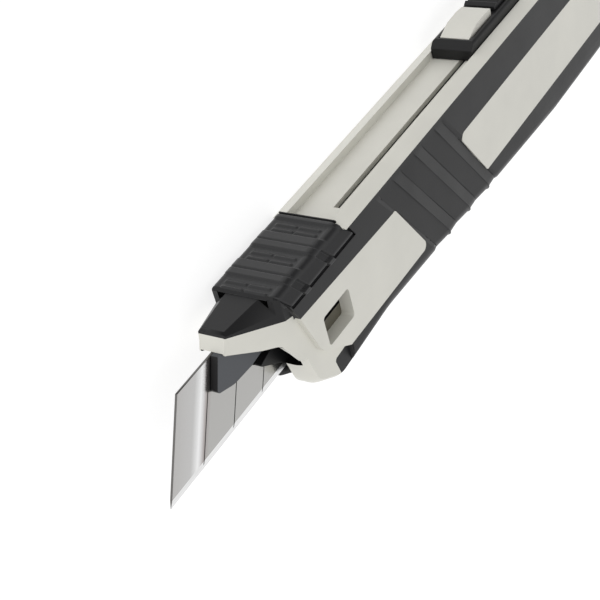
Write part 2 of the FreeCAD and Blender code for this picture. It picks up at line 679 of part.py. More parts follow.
def build_channel():
    channel = new_body("blade_channel")
    web = "( -1 * blade_thickness / 2 - blade_gap )"
    section = new_sketch(channel, "YZ_Plane", "channel_front")
    lip_far = "channel_lip_side + sheet"
    draw_outline(section, [
        ("-1 * edge_gap - sheet", web + " - sheet"), ("blade_width + spine_gap + sheet", web + " - sheet"),
        ("blade_width + spine_gap + sheet", "flange_reach"), ("blade_width + spine_gap", "flange_reach"),
        ("blade_width + spine_gap", web), ("-1 * edge_gap", web),
        ("-1 * edge_gap", "channel_lip_side"), ("channel_lip_height", "channel_lip_side"),
        ("channel_lip_height", lip_far), ("-1 * edge_gap - sheet", lip_far),
    ])
    pad(channel, section, "channel_back - channel_front")
    teeth = new_sketch(channel, "XY_Plane", "flange_reach - notch_depth")
    first = "( leaf_nose_reach - push_out )"
    draw_box(teeth, first + " - notch_width / 2", "blade_width",
             first + " + notch_width / 2", "blade_width + spine_gap + 2 * sheet")
    notch = pocket(channel, teeth, "2 * notch_depth")
    notches = int((size("push_out") + size("draw_back")) / size("notch_pitch")) + 1
    repeat_along_x(channel, notch, "notch_pitch", notches)


build_channel()


# ---------------------------------------------------------------- carrier, peg and rivets

CARRIER_NEAR = "( blade_thickness / 2 + carrier_gap )"
CARRIER_FAR = "( blade_thickness / 2 + carrier_gap + carrier_thickness )"
RIVET_REACHES = ("leg_front + front_rivet_inset", "leg_back - rear_rivet_inset")


def build_carrier():
    carrier = new_body("blade_carrier")
    outline = new_sketch(carrier, "XY_Plane", CARRIER_NEAR)
    draw_outline(outline, [
        ("carrier_front", "blade_width / 2 - carrier_tip"), ("carrier_front + carrier_taper", "carrier_low"),
        ("carrier_back", "carrier_low"), ("carrier_back", "carrier_high"),
        ("carrier_front + carrier_taper", "carrier_high"), ("carrier_front", "blade_width / 2 + carrier_tip"),
    ])
    pad(carrier, outline, "carrier_thickness")
    holes = new_sketch(carrier, "XY_Plane", CARRIER_NEAR + " - 1")
    draw_circle(holes, PEG_REACH, "blade_width / 2", "peg_radius")
    for reach in RIVET_REACHES:
        draw_circle(holes, reach, "rivet_height", "rivet_radius")
    pocket(carrier, holes, "carrier_thickness + 2")


def build_peg():
    peg = new_body("carrier_peg")
    shank = new_sketch(peg, "XY_Plane", "-1 * blade_thickness / 2 - blade_gap / 2")
    draw_circle(shank, PEG_REACH, "blade_width / 2", "peg_radius")
    pad(peg, shank, "blade_thickness / 2 + blade_gap / 2 + " + CARRIER_FAR)
    head = new_sketch(peg, "XY_Plane", CARRIER_FAR)
    draw_circle(head, PEG_REACH, "blade_width / 2", "peg_head_radius")
    pad(peg, head, "peg_head")


def rivets():
    near = size("blade_thickness") / 2 + size("carrier_gap")
    solids = []
    reaches = (size("leg_front") + size("front_rivet_inset"), size("leg_back") - size("rear_rivet_inset"))
    for reach in reaches:
        shank = rod(reach, size("rivet_height"), size("rivet_radius"), near, size("leg_far"))
        head = rod(reach, size("rivet_height"), size("rivet_head_radius"), near - size("rivet_head"), near)
        solids.append(shank.fuse(head).removeSplitter())
    return Part.makeCompound(solids)


build_carrier()
build_peg()
keep_shape("slider_rivets", rivets())


# ---------------------------------------------------------------- slider, pad, button and springs

SLIDER_LOW = "( track_floor + slider_clearance )"
SLIDER_HIGH = "( track_floor + slider_clearance + slider_height )"
SLIDER_BACK = "( slider_front + slider_length )"
SLIDER_SIDE = "( track_half_width - slider_clearance )"


def is_long_top_edge(edge):
    """An edge that runs back along the top of the slider's pieces."""
    box = edge.BoundBox
    return box.XLength > 2 and box.YLength < 1e-3 and box.ZLength < 1e-3 and box.YMin > rails


def build_slider():
    slider = new_body("slider")
    outline = new_sketch(slider, "XY_Plane", "-1 * " + SLIDER_SIDE)
    draw_outline(outline, [
        ("slider_front", SLIDER_LOW), (SLIDER_BACK, SLIDER_LOW),
        (SLIDER_BACK, SLIDER_HIGH + " - slider_tail"), (SLIDER_BACK + " - slider_tail", SLIDER_HIGH),
        ("slider_front + slider_lead", SLIDER_HIGH), ("slider_front", SLIDER_HIGH + " - slider_lead"),
    ])
    pad(slider, outline, "2 * " + SLIDER_SIDE)
    soften(slider, is_long_top_edge, "slider_clearance * 4")
    foot = new_sketch(slider, "XY_Plane", CARRIER_FAR)
    draw_box(foot, "leg_front", "foot_low", "leg_back", "roof - slider_clearance")
    pad(slider, foot, "leg_far - " + CARRIER_FAR)
    neck = new_sketch(slider, "XY_Plane", "neck_near")
    draw_box(neck, "leg_front", "carrier_high", "leg_back", SLIDER_LOW + " + 1")
    pad(slider, neck, "neck_far - neck_near")
    well = new_sketch(slider, "XY_Plane", "-1 * button_half_width - button_gap")
    draw_box(well, "button_front - button_gap", "button_seat",
             "button_front + button_length + button_gap", SLIDER_HIGH + " + 2")
    pocket(slider, well, "2 * ( button_half_width + button_gap )")
    pins = new_sketch(slider, "XY_Plane", "0")
    for reach in RIVET_REACHES:
        draw_circle(pins, reach, "rivet_height", "rivet_radius")
    pocket(slider, pins, "2 * leg_far")
    bores = new_sketch(slider, "XZ_Plane", "-1 * button_seat - 1")
    draw_circle(bores, "stem_reach", "stem_side", "stem_radius + fit_gap")
    pocket(slider, bores, "button_seat")
    spring_bore = new_sketch(slider, "XZ_Plane", "-1 * button_seat - 1")
    draw_circle(spring_bore, "coil_reach", "coil_side", "coil_bore")
    pocket(slider, spring_bore, "button_seat + 1 - coil_seat")


def build_pad():
    ridges = 5
    slider_pad = new_body("slider_pad")
    outline = new_sketch(slider_pad, "XY_Plane", "-1 * track_half_width + pad_inset")
    pitch = "( " + SLIDER_BACK + " - pad_inset - pad_front ) / " + str(ridges)
    top = SLIDER_HIGH + " + pad_thickness"
    corners = [("pad_front", SLIDER_HIGH)]
    for step in range(ridges):
        corners.append((f"pad_front + {step} * {pitch}", top))
        corners.append((f"pad_front + ( {step} + 0.5 ) * {pitch}", top + " + pad_ridge"))
    corners.append((f"pad_front + {ridges} * {pitch}", top))
    corners.append((f"pad_front + {ridges} * {pitch}", SLIDER_HIGH))
    draw_outline(outline, corners)
    pad(slider_pad, outline, "2 * ( track_half_width - pad_inset )")


def build_button():
    button = new_body("lock_button")
    top = "( rail_height + slider_rise )"
    low = "( button_seat + button_travel + button_gap / 2 )"
    back = "( button_front + button_length )"
    outline = new_sketch(button, "XY_Plane", "-1 * button_half_width")
    draw_outline(outline, [
        ("button_front", low), (back, low), (back, top + " - button_gap"), (back + " - button_tail", top),
        ("button_front + button_rise", top + " - button_dip"), ("button_front", top + " - button_lead"),
    ])
    pad(button, outline, "2 * button_half_width")
    soften(button, is_long_top_edge, "button_gap * 2")
    stem = new_sketch(button, "XZ_Plane", "-1 * " + low + " - button_gap")
    draw_circle(stem, "stem_reach", "stem_side", "stem_radius")
    pad(button, stem, low + " + button_gap - carrier_high - leaf - fit_gap")


def coil(reach, side, low, high, radius, wire, pitch):
    """A coil spring with its axis towards the slider."""
    path = Part.makeHelix(pitch, high - low - 2 * wire, radius - wire)
    section = Part.Wire(Part.makeCircle(wire, Vector(radius - wire, 0, 0), Vector(0, 1, 0)))
    wound = Part.Wire(path).makePipeShell([section], True, True)
    wound.rotate(Vector(0, 0, 0), Vector(1, 0, 0), -90)
    wound.translate(Vector(reach, low + wire, side))
    return Part.makeCompound([wound])


def lock_spring():
    """Leaf that lies on the carrier, with a nose in a notch and a tab under the button's stem."""
    low = size("carrier_high")
    high = low + size("leaf")
    front, near = size("leaf_front"), -size("leaf_side")
    far = size("stem_side") + size("stem_radius") - size("fit_gap")
    strip = brick(front, size("leg_back"), low, high, near, size("leaf_far"))
    tab = brick(front, size("leg_front") - size("leaf_gap"), low, high, near, far)
    middle, foot, tip = size("leaf_nose_reach"), size("leaf_nose_foot"), size("leaf_nose_tip")
    base, peak = high - size("fit_gap"), high + size("leaf_nose_rise")
    nose = [(middle - foot, base, 0), (middle - tip, peak, size("fit_gap")),
            (middle + tip, peak, size("fit_gap")), (middle + foot, base, 0)]
    strip = strip.fuse([tab, prism(onto_side, nose, near, size("flange_reach") - size("fit_gap"))])
    return strip.removeSplitter()


build_slider()
build_pad()
build_button()
coil_top = size("button_seat") + size("button_travel") + size("button_gap") / 2
coil_low = size("coil_seat") + size("fit_gap") / 2
keep_shape("button_spring", coil(size("coil_reach"), size("coil_side"), coil_low, coil_top,
                                 size("coil_radius"), size("coil_wire"), size("coil_pitch")))
keep_shape("lock_spring", lock_spring())


# ---------------------------------------------------------------- end cap

def clip_form():
    """Spring clip let into the plug's left face."""
    outer = bore_side - size("fit_gap")
    front, back = shell_back - size("plug_length"), shell_back - size("clip_inset")
    return brick(front, back, size("clip_low"), size("clip_high"), outer - size("clip"), outer)


def end_cap():
    """Cap with a plug in the handle, a slot for snapping the blade and a hole for a cord."""
    gap = size("fit_gap")
    body = cap_form.fuse(mirrored(cap_form)).removeSplitter()
    body = body.cut(brick(0, shell_back + size("cap_gap"), -DEEP, DEEP, -DEEP, DEEP))
    plug = brick(shell_back - size("plug_length"), shell_back + PROUD, channel_low + gap, size("roof") - gap,
                 web_side - size("sheet") + gap, bore_side - gap)
    end = size("overall_length")
    slot_side = size("snap_slot") / 2
    slot_front = end - size("snap_slot_depth")
    slot = brick(slot_front, end + PROUD, size("snap_slot_low"), DEEP, -slot_side, slot_side)
    cord = rod(end - size("lanyard_inset"), -size("lanyard_depth"), size("lanyard_radius"), -DEEP, DEEP)
    return body.fuse(plug).removeSplitter().cut([clip_form(), slot, cord])


keep_shape("end_cap", end_cap())
keep_shape("cap_clip", clip_form())


# ---------------------------------------------------------------- check and write

NODES = [
    "left_shell", "right_shell", "left_grip", "right_grip", "case_screws", "shell_dowels",
    "guide_dowel", "blade_guide", "blade", "blade_channel", "blade_carrier", "carrier_peg",
    "slider_rivets", "slider", "slider_pad", "lock_button", "button_spring", "lock_spring",
    "end_cap", "cap_clip",
]

doc.recompute()
for each in doc.Objects:
    if "Invalid" in each.State or "Error" in each.State:
        raise RuntimeError(each.Label + " failed: " + str(each.State))
os.makedirs("parts", exist_ok=True)
for label in NODES:
    piece = doc.getObjectsByLabel(label)[0]
    if piece.Shape.isNull() or not piece.Shape.isValid() or not piece.Shape.Solids:
        raise RuntimeError(label + " has no valid solid")
    piece.Shape.exportStep(f"parts/{label}.step")
    print(label, len(piece.Shape.Solids), round(piece.Shape.Volume, 1))
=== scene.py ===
"""Looks of the snap-off utility knife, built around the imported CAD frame.

Places in the knife are given as reach (back from the blade's tip), height (over the cutting edge,
towards the slider) and side (to the knife's left of the middle of the blade), all in millimetres.
knife() turns them into the frame's metres.
"""

import math

import bmesh
import bpy
from mathutils import Matrix, Vector
from mathutils.bvhtree import BVHTree


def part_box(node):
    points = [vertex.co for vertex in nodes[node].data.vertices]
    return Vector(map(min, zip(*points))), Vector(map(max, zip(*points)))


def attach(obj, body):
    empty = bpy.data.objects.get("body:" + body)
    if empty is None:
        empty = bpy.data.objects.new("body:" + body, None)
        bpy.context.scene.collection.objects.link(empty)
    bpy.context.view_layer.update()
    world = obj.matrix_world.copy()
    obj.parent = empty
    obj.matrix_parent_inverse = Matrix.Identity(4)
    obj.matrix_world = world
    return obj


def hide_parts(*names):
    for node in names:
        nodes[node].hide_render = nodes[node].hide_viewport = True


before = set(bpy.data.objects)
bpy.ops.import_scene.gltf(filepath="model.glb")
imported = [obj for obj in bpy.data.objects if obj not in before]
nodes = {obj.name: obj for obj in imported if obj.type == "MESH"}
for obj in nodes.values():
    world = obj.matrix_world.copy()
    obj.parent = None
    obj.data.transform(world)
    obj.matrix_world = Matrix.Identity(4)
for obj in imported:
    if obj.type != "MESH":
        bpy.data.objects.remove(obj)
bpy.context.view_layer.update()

MM = 0.001
blade_low, blade_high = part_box("blade")
TIP = Vector((blade_high.x, blade_high.y, (blade_low.z + blade_high.z) / 2))


def knife(reach, height, side):
    """A place in the knife, in the frame's metres."""
    return TIP + Vector((-reach, -height, side)) * MM


def in_knife(point):
    """Reach, height and side, in millimetres, of a point in the frame."""
    offset = (point - TIP) / MM
    return -offset.x, -offset.y, offset.z


def knife_direction(reach, height, side):
    """A direction in the knife, along the frame's axes."""
    return Vector((-reach, -height, side))


# ---------------------------------------------------------------- materials

NOISE_LOW = 0.3          # nearly all of a noise lies between these two
NOISE_HIGH = 0.7
CLOUD_SCALE = 90.0       # features per metre of the slow change of shade in a moulding
CLOUD_CHANGE = 0.035
CLOUD_ROUGHNESS = 0.04
LINE_SCALE = 2500.0      # the same for grinding lines
LINE_CHANGE = 0.06
LINE_ROUGHNESS = 0.06
LINE_HEIGHT = 2e-6       # metres
FINE_LINE_HEIGHT = 4e-7


def new_material(name, colour, roughness, metallic=0.0):
    """A Principled material; returns it with its node tree, shader and texture coordinates."""
    material = bpy.data.materials.new(name)
    material.use_nodes = True
    tree = material.node_tree
    shader = tree.nodes["Principled BSDF"]
    shader.inputs["Base Color"].default_value = (*colour, 1.0)
    shader.inputs["Roughness"].default_value = roughness
    shader.inputs["Metallic"].default_value = metallic
    where = tree.nodes.new("ShaderNodeTexCoord")
    return material, tree, shader, where.outputs["Object"]


def noise_at(tree, where, scale, detail=3.0, stretch=(1.0, 1.0, 1.0)):
    """Noise whose features are about 1/scale metres, stretched along the axes."""
    mapping = tree.nodes.new("ShaderNodeMapping")
    mapping.inputs["Scale"].default_value = stretch
    tree.links.new(where, mapping.inputs["Vector"])
    noise = tree.nodes.new("ShaderNodeTexNoise")
    noise.inputs["Scale"].default_value = scale
    noise.inputs["Detail"].default_value = detail
    tree.links.new(mapping.outputs["Vector"], noise.inputs["Vector"])
    return noise.outputs["Fac"]


def spread(tree, value, low, high):
    """Map noise to a range."""
    ranges = tree.nodes.new("ShaderNodeMapRange")
    ranges.inputs["From Min"].default_value = NOISE_LOW
    ranges.inputs["From Max"].default_value = NOISE_HIGH
    ranges.inputs["To Min"].default_value = low
    ranges.inputs["To Max"].default_value = high
    tree.links.new(value, ranges.inputs["Value"])
    return ranges.outputs["Result"]


def tint(tree, value, dark, light):
    """Colour between two, by noise."""
    blend = tree.nodes.new("ShaderNodeValToRGB")
    blend.color_ramp.elements[0].position = NOISE_LOW
    blend.color_ramp.elements[0].color = (*dark, 1.0)
    blend.color_ramp.elements[1].position = NOISE_HIGH
    blend.color_ramp.elements[1].color = (*light, 1.0)
    tree.links.new(value, blend.inputs["Fac"])
    return blend.outputs["Color"]


def rough_surface(tree, shader, value, height):
    """Small bumps of a height in metres."""
    bump = tree.nodes.new("ShaderNodeBump")
    bump.inputs["Distance"].default_value = height
    bump.inputs["Strength"].default_value = 1.0
    tree.links.new(value, bump.inputs["Height"])
    tree.links.new(bump.outputs["Normal"], shader.inputs["Normal"])


def shades(colour, change):
    """A darker and a lighter shade of a colour."""
    return [tuple(part * (1 - change) for part in colour), tuple(part * (1 + change) for part in colour)]


def moulded(name, colour, roughness, grain, grain_height, shine=0.5):
    """Moulded plastic or rubber: a fine spark-eroded grain and slightly uneven shine."""
    material, tree, shader, where = new_material(name, colour, roughness)
    shader.inputs["Specular IOR Level"].default_value = shine
    cloudy = noise_at(tree, where, CLOUD_SCALE)
    shine_range = (roughness - CLOUD_ROUGHNESS, roughness + CLOUD_ROUGHNESS)
    tree.links.new(tint(tree, cloudy, *shades(colour, CLOUD_CHANGE)), shader.inputs["Base Color"])
    tree.links.new(spread(tree, cloudy, *shine_range), shader.inputs["Roughness"])
    rough_surface(tree, shader, noise_at(tree, where, grain, 2.0), grain_height)
    return material


def ground_metal(name, colour, roughness, stretch, line_height=LINE_HEIGHT):
    """Metal with fine grinding lines that run the way the noise is stretched."""
    material, tree, shader, where = new_material(name, colour, roughness, 1.0)
    lines = noise_at(tree, where, LINE_SCALE, stretch=stretch)
    shine_range = (roughness - LINE_ROUGHNESS, roughness + LINE_ROUGHNESS)
    tree.links.new(tint(tree, lines, *shades(colour, LINE_CHANGE)), shader.inputs["Base Color"])
    tree.links.new(spread(tree, lines, *shine_range), shader.inputs["Roughness"])
    rough_surface(tree, shader, lines, line_height)
    return material


def blade_steel():
    """Satin strip steel, with painted reflections: bright and dark bands painted into its colour, running
    along the snap lines.
    """
    material, tree, shader, where = new_material("blade_steel", BLADE_COLOUR, BLADE_ROUGHNESS, 1.0)
    across = tree.nodes.new("ShaderNodeVectorMath")
    across.operation = "DOT_PRODUCT"
    across.inputs[1].default_value = (-1.0, 1.0 / math.tan(SNAP_ANGLE), 0.0)
    tree.links.new(where, across.inputs[0])
    tip = -TIP.x + TIP.y / math.tan(SNAP_ANGLE)
    share = tree.nodes.new("ShaderNodeMapRange")
    share.inputs["From Min"].default_value = tip
    share.inputs["From Max"].default_value = tip + BLADE_REFLECTION_LENGTH * MM
    tree.links.new(across.outputs["Value"], share.inputs["Value"])
    ramp_node = tree.nodes.new("ShaderNodeValToRGB")
    elements = ramp_node.color_ramp.elements
    elements[0].position, elements[0].color = 0.0, (*BLADE_REFLECTION_BANDS[0][1], 1.0)
    elements[1].position, elements[1].color = 1.0, (*BLADE_REFLECTION_BANDS[-1][1], 1.0)
    for reach, shade in BLADE_REFLECTION_BANDS[1:-1]:
        elements.new(reach / BLADE_REFLECTION_LENGTH).color = (*shade, 1.0)
    tree.links.new(share.outputs["Result"], ramp_node.inputs["Fac"])
    tree.links.new(ramp_node.outputs["Color"], shader.inputs["Base Color"])
    lines = noise_at(tree, where, LINE_SCALE, 2.0, ALONG_BLADE)
    tree.links.new(spread(tree, lines, *BLADE_ROUGHNESS_RANGE), shader.inputs["Roughness"])
    rough_surface(tree, shader, lines, FINE_LINE_HEIGHT)
    return material


ALONG = (0.03, 1.0, 1.0)         # noise drawn out along the knife
ALONG_BLADE = (0.05, 1.0, 1.0)
EVEN = (1.0, 1.0, 1.0)
BLADE_COLOUR = (0.52, 0.51, 0.50)
BLADE_ROUGHNESS = 0.22
BLADE_ROUGHNESS_RANGE = (0.19, 0.26)
SNAP_ANGLE = math.radians(60.0)
BLADE_REFLECTION_LENGTH = 40.0
BLADE_REFLECTION_BANDS = (          # distance back from the tip's slanting end, and shade: painted reflections, a bright band and a dark brownish band behind it
    (0.0, (0.56, 0.55, 0.54)),
    (5.6, (0.62, 0.615, 0.61)),
    (6.9, (0.80, 0.80, 0.80)),
    (7.9, (0.98, 0.98, 0.98)),
    (8.7, (0.80, 0.79, 0.79)),
    (9.8, (0.44, 0.40, 0.39)),
    (11.5, (0.52, 0.515, 0.50)),
    (40.0, (0.53, 0.525, 0.51)),
)
CREAM = moulded("cream_plastic", (0.69, 0.68, 0.62), 0.38, 4200.0, 6e-6)
RUBBER = moulded("soft_grip", (0.0115, 0.0115, 0.0122), 0.40, 3600.0, 1.2e-5, 0.27)
# painted light: a lighter copy of the grip rubber, so that the top of the thumb rest reads brighter, as if
# lit from above
REST_RUBBER_LIT = moulded("thumb_rest_rubber_painted_light", (0.019, 0.019, 0.020), 0.36, 3600.0, 8e-6, 0.36)
# black plastic of the slider and end cap, also used as painted shade in the arch room and on the guide
BLACK_AND_SHADE = moulded("black_plastic_and_painted_shade", (0.007, 0.007, 0.0075), 0.42, 4200.0, 8e-6, 0.3)
GUIDE = moulded("guide_coating", (0.048, 0.053, 0.062), 0.30, 5200.0, 4e-6)
# painted shade: a darker, warmer colour for the guide block's faces behind the window, standing in for the
# shade there
WINDOW_FLOOR_SHADE = moulded("window_floor_painted_shade", (0.10, 0.092, 0.068), 0.5, 5200.0, 4e-6)
BLADE = blade_steel()
# the cutting bevel is really ground and smoother; its near-white colour, far lighter than the blade's
# steel, is a painted highlight
EDGE = ground_metal("ground_edge", (0.93, 0.93, 0.93), 0.16, ALONG_BLADE, FINE_LINE_HEIGHT)
SCORE = ground_metal("score_line", (0.16, 0.155, 0.15), 0.4, ALONG)
CHANNEL = ground_metal("channel_steel", (0.06, 0.058, 0.055), 0.45, ALONG)
FASTENER = ground_metal("fastener_steel", (0.50, 0.50, 0.50), 0.32, EVEN)
SPRING = ground_metal("spring_steel", (0.55, 0.55, 0.56), 0.28, ALONG)


def paint(node, material):
    """Give a shown CAD node its material."""
    for place in range(len(nodes[node].material_slots)):
        nodes[node].material_slots[place].material = material


for node in ("case_screws", "shell_dowels", "guide_dowel", "carrier_peg", "slider_rivets"):
    paint(node, FASTENER)
for node in ("button_spring", "lock_spring", "cap_clip"):
    paint(node, SPRING)
for node in ("blade_channel", "blade_carrier"):
    paint(node, CHANNEL)


# ---------------------------------------------------------------- pieces from CAD meshes

WELD_GAP = 2e-6          # metres
SLIVER = 1e-7            # metres; shorter edges are dropped
FLAT_ANGLE = math.radians(0.6)
EDGE_SEGMENTS = 2
EDGE_ANGLE = math.radians(32.0)  # only edges sharper than this are rounded
SHARP_ANGLE = math.radians(28.0)
LARGE_FACE_WEIGHT = 80   # how far a large face keeps its own normals


def copy_of(node, material):
    """A copy of a CAD node's mesh as an object of its own."""
    mesh = nodes[node].data.copy()
    mesh.name = node + "_look"
    mesh.materials.clear()
    mesh.materials.append(material)
    piece = bpy.data.objects.new(node + "_look", mesh)
    bpy.context.scene.collection.objects.link(piece)
    return piece


def weld(work):
    """Join the corners that neighbouring triangles have in common."""
    bmesh.ops.remove_doubles(work, verts=work.verts, dist=WELD_GAP)


def merge_flat_faces(work):
    """Join the triangles of each flat face into one, but not across a marked seam."""
    bmesh.ops.dissolve_limit(
        work, angle_limit=FLAT_ANGLE, verts=work.verts, edges=work.edges, delimit={"SEAM"},
    )


def keep_flat(piece):
    """Flat faces keep their own normals, so that they shade flat."""
    flat = piece.modifiers.new("flat_faces", "WEIGHTED_NORMAL")
    flat.keep_sharp = True
    flat.weight = LARGE_FACE_WEIGHT


def round_edges(piece, width):
    """Small round edges that catch the light."""
    piece.data.shade_smooth()
    bevel = piece.modifiers.new("edges", "BEVEL")
    bevel.width = width * MM
    bevel.segments = EDGE_SEGMENTS
    bevel.limit_method = "ANGLE"
    bevel.angle_limit = EDGE_ANGLE
    bevel.use_clamp_overlap = True
    bevel.harden_normals = False
    keep_flat(piece)


def sharp_edges(piece):
    """Smooth curves, with every clear edge kept crisp."""
    piece.data.shade_smooth()
    piece.data.set_sharp_from_angle(angle=SHARP_ANGLE)
    keep_flat(piece)


def stand_in(piece, node, body):
    """The piece takes the CAD node's place and moves with its body."""
    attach(piece, body)
    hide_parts(node)


# ---------------------------------------------------------------- relief of the grip

RIB_LEAN = 0.70          # how far a rib runs forward for each millimetre up
RIB_PITCH = 9.2
RIB_START = 83.4         # first valley, at the height of the cutting edge
RIB_COUNT = 3
RIB_CREST = 5.7          # from a valley back to the crest
RIB_DEPTH = 0.30
RIB_RUNOUT = 1.2
RIB_LINE = 0.24          # height of the line on a crest, and depth of the score in a valley
RIB_FLAT = 0.16          # half of their width
RIB_FADE = 18.6          # the ribs run out between these heights
RIB_TOP = 20.2
RIB_FRONT = 60.0         # the stretch of the grip that is searched for ribs
RIB_BACK = 125.0

PAD_LEAN = 0.6           # how far the thumb rest runs forward for each millimetre up
PAD_TOP = 22.7
PAD_PITCH = 8.95         # from one of its three steps to the next
PAD_BACK = 57.0
PAD_FRONT = 33.2
RAIL_FOOT = 20.8         # above this the rest ends squarely against the rails
SEAT_FRONT = 33.5        # the grip is cut away under the rest, from here
SEAT_BACK = 56.7
SEAT_LOW = 18.0
SEAT_DEPTH = 0.9
SEAT_MARGIN = 0.05
REST_FLAT = 5.6          # half width of its flat top
REST_CORNER = (6.9, 22.6)
REST_SHOULDER = (7.3, 21.1)
REST_HIP = (8.3, 19.2)
REST_FOOT = (8.32, 17.75)
REST_STEP = 0.17         # fineness of the net along the knife, and its steps round the section
REST_TOP_STEPS = 30
REST_ROUND_STEPS = 9
REST_FLANK_STEPS = 10
REST_WALL_STEPS = 10
REST_END_ROUND = 0.7
REST_ROOT = 2.8          # how deep its ends reach into the grip
GUIDE_PLATE_SIDE = 2.2   # what stands further out than the guide's plate is painted black as shade
FACES_FRONT = 0.5        # a face whose normal leans further forward is a front edge, painted black as the dark it reflects
GUIDE_SLIT_SLOPE = 0.112
GUIDE_SLIT = 6.64        # height of the slit's line, carried forward to the blade's tip
GUIDE_JAW = 29.0         # behind this, what lies under the slit belongs to the jaw, painted black as shadow under the hood
ARCH_ROOM = ((24.0, 41.5), (3.15, 17.05), 6.0)  # reach, height and half width of the room whose walls are painted black as shade
ARCH_WALL = 1.2
CHEEK_START = (22.3, 2.7)    # the nose widens between these places: reach and side
CHEEK_END = (34.6, 7.15)
WINDOW_FLOOR_SIDE = 5.2
BLADE_HALF = 0.25
BLADE_BEVEL = 1.43
FACE_GAP = 0.005         # a face further in than this is not one of the blade's two flat sides
BAR_FRONT = 46.7         # front edge of the rearmost step's first cross bar
BAR_GROOVE = (48.35, 48.85)
BAR_BACK = 51.0
REAR_BAR = 55.4
PAD_DEPTH = 0.5          # from the top of a bar to the floor between
RAMP = 0.3               # length of the slope at each edge of the relief
LINES = (52.0, 53.6)     # thin raised lines between the bars
LINE_HALF = 0.2
LINE_RISE = 0.32
LINE_GAP = 0.4
LINE_END = 4.8
TAB_LOW = 18.7
TAB_HIGH = 21.3
TAB_DEPTH = 0.65
TAB_GROOVE = 0.55        # width of the groove under a tab
TAB_FRONT = 48.75
TAB_BACK = 46.9
CUT_GAP = 1e-7           # metres; a corner this near a cut is taken as on it
FACES_ALONG = 0.6        # a face whose normal leans further along the knife is an end face
OFF_FACE = 2e-5          # metres; where the search for a wall over a face starts
SEARCH_REACH = 0.05      # metres


def ramp(value, start, end):
    """0 before start, 1 after end and straight between them."""
    return min(1.0, max(0.0, (value - start) / (end - start)))


def band(value, low, high, edge):
    """1 between low and high, falling to 0 over a slope outside them."""
    return ramp(value, low - edge, low) * (1 - ramp(value, high, high + edge))


def rib_depth(reach, height, side):
    """Sawtooth of the leaning ribs, with a thin raised line on each crest and a score in each valley."""
    along = reach + RIB_LEAN * height - RIB_START
    last = RIB_COUNT * RIB_PITCH
    fade = 1 - ramp(height, RIB_FADE, RIB_TOP)
    if along < 0 or along > last:
        return RIB_DEPTH * fade * (1 - ramp(max(-along, along - last), 0, RIB_RUNOUT))
    place = along % RIB_PITCH
    if place < RIB_CREST:
        depth = RIB_DEPTH * (1 - place / RIB_CREST)
    else:
        depth = RIB_DEPTH * (place - RIB_CREST) / (RIB_PITCH - RIB_CREST)
    depth -= RIB_LINE * (1 - ramp(abs(place - RIB_CREST), 0, RIB_FLAT))
    depth += RIB_LINE * (1 - ramp(min(place, RIB_PITCH - place), 0, RIB_FLAT))
    return fade * depth


def pad_place(along):
    """Place along the thumb rest, brought into the rearmost of its three steps."""
    while along < BAR_FRONT - RAMP and along < PAD_BACK:
        along += PAD_PITCH
    return along


def thumb_top_depth(along, side):
    """Cross bars and thin lines on top of the thumb rest."""
    along = pad_place(along)
    raised = max(
        band(along, BAR_FRONT, BAR_GROOVE[0], RAMP),
        band(along, BAR_GROOVE[1], BAR_BACK, RAMP),
        band(along, REAR_BAR, PAD_BACK + 1, RAMP),
    )
    depth = PAD_DEPTH * (1 - raised)
    for line in LINES:
        across = band(abs(side), LINE_GAP, LINE_END, RAMP)
        depth -= LINE_RISE * across * band(along, line - LINE_HALF, line + LINE_HALF, RAMP)
    return depth


def thumb_flank_depth(along, height):
    """Tabs on the flank of the thumb rest, between narrow gaps, over a groove."""
    along = pad_place(along)
    tab = max(1 - ramp(along, TAB_BACK - RAMP, TAB_BACK), ramp(along, TAB_FRONT, TAB_FRONT + RAMP))
    if height < TAB_LOW:
        return TAB_DEPTH * tab * band(height, TAB_LOW - TAB_GROOVE, TAB_LOW, RAMP)
    return TAB_DEPTH * (1 - tab * (1 - ramp(height, TAB_HIGH, TAB_HIGH + RAMP)))


def seat_depth(reach, height, side):
    """How deep the grip is cut away under the separate thumb rest."""
    along = reach + PAD_LEAN * (height - PAD_TOP)
    inside = SEAT_FRONT < along < SEAT_BACK and height > SEAT_LOW
    return SEAT_DEPTH if inside else rib_depth(reach, height, side)


def slice_at(work, weights, values, keep=None, seam=False):
    """Cut where the weighted sum of the three measures takes each value, in the faces keep() picks."""
    normal = knife_direction(*weights)
    scale = sum(weight * weight for weight in weights)
    for value in values:
        faces = [face for face in work.faces if keep is None or keep(*in_knife(face.calc_center_median()))]
        geometry = set(faces)
        for face in faces:
            geometry.update(face.edges)
            geometry.update(face.verts)
        origin = knife(*(weight * value / scale for weight in weights))
        cut = bmesh.ops.bisect_plane(
            work, geom=list(geometry), dist=CUT_GAP, plane_co=origin, plane_no=normal,
        )
        if seam:
            for edge in cut["geom_cut"]:
                if isinstance(edge, bmesh.types.BMEdge):
                    edge.seam = True


def slice_for_seat(work):
    """Narrow strips round the place where the thumb rest sits, so that its walls stand upright."""
    margin = SEAT_MARGIN
    leaning = [SEAT_FRONT - margin, SEAT_FRONT + margin, SEAT_BACK - margin, SEAT_BACK + margin]
    slice_at(work, (1, PAD_LEAN, 0), [along + PAD_LEAN * PAD_TOP for along in leaning])
    slice_at(work, (0, 1, 0), [SEAT_LOW - margin, SEAT_LOW + margin])


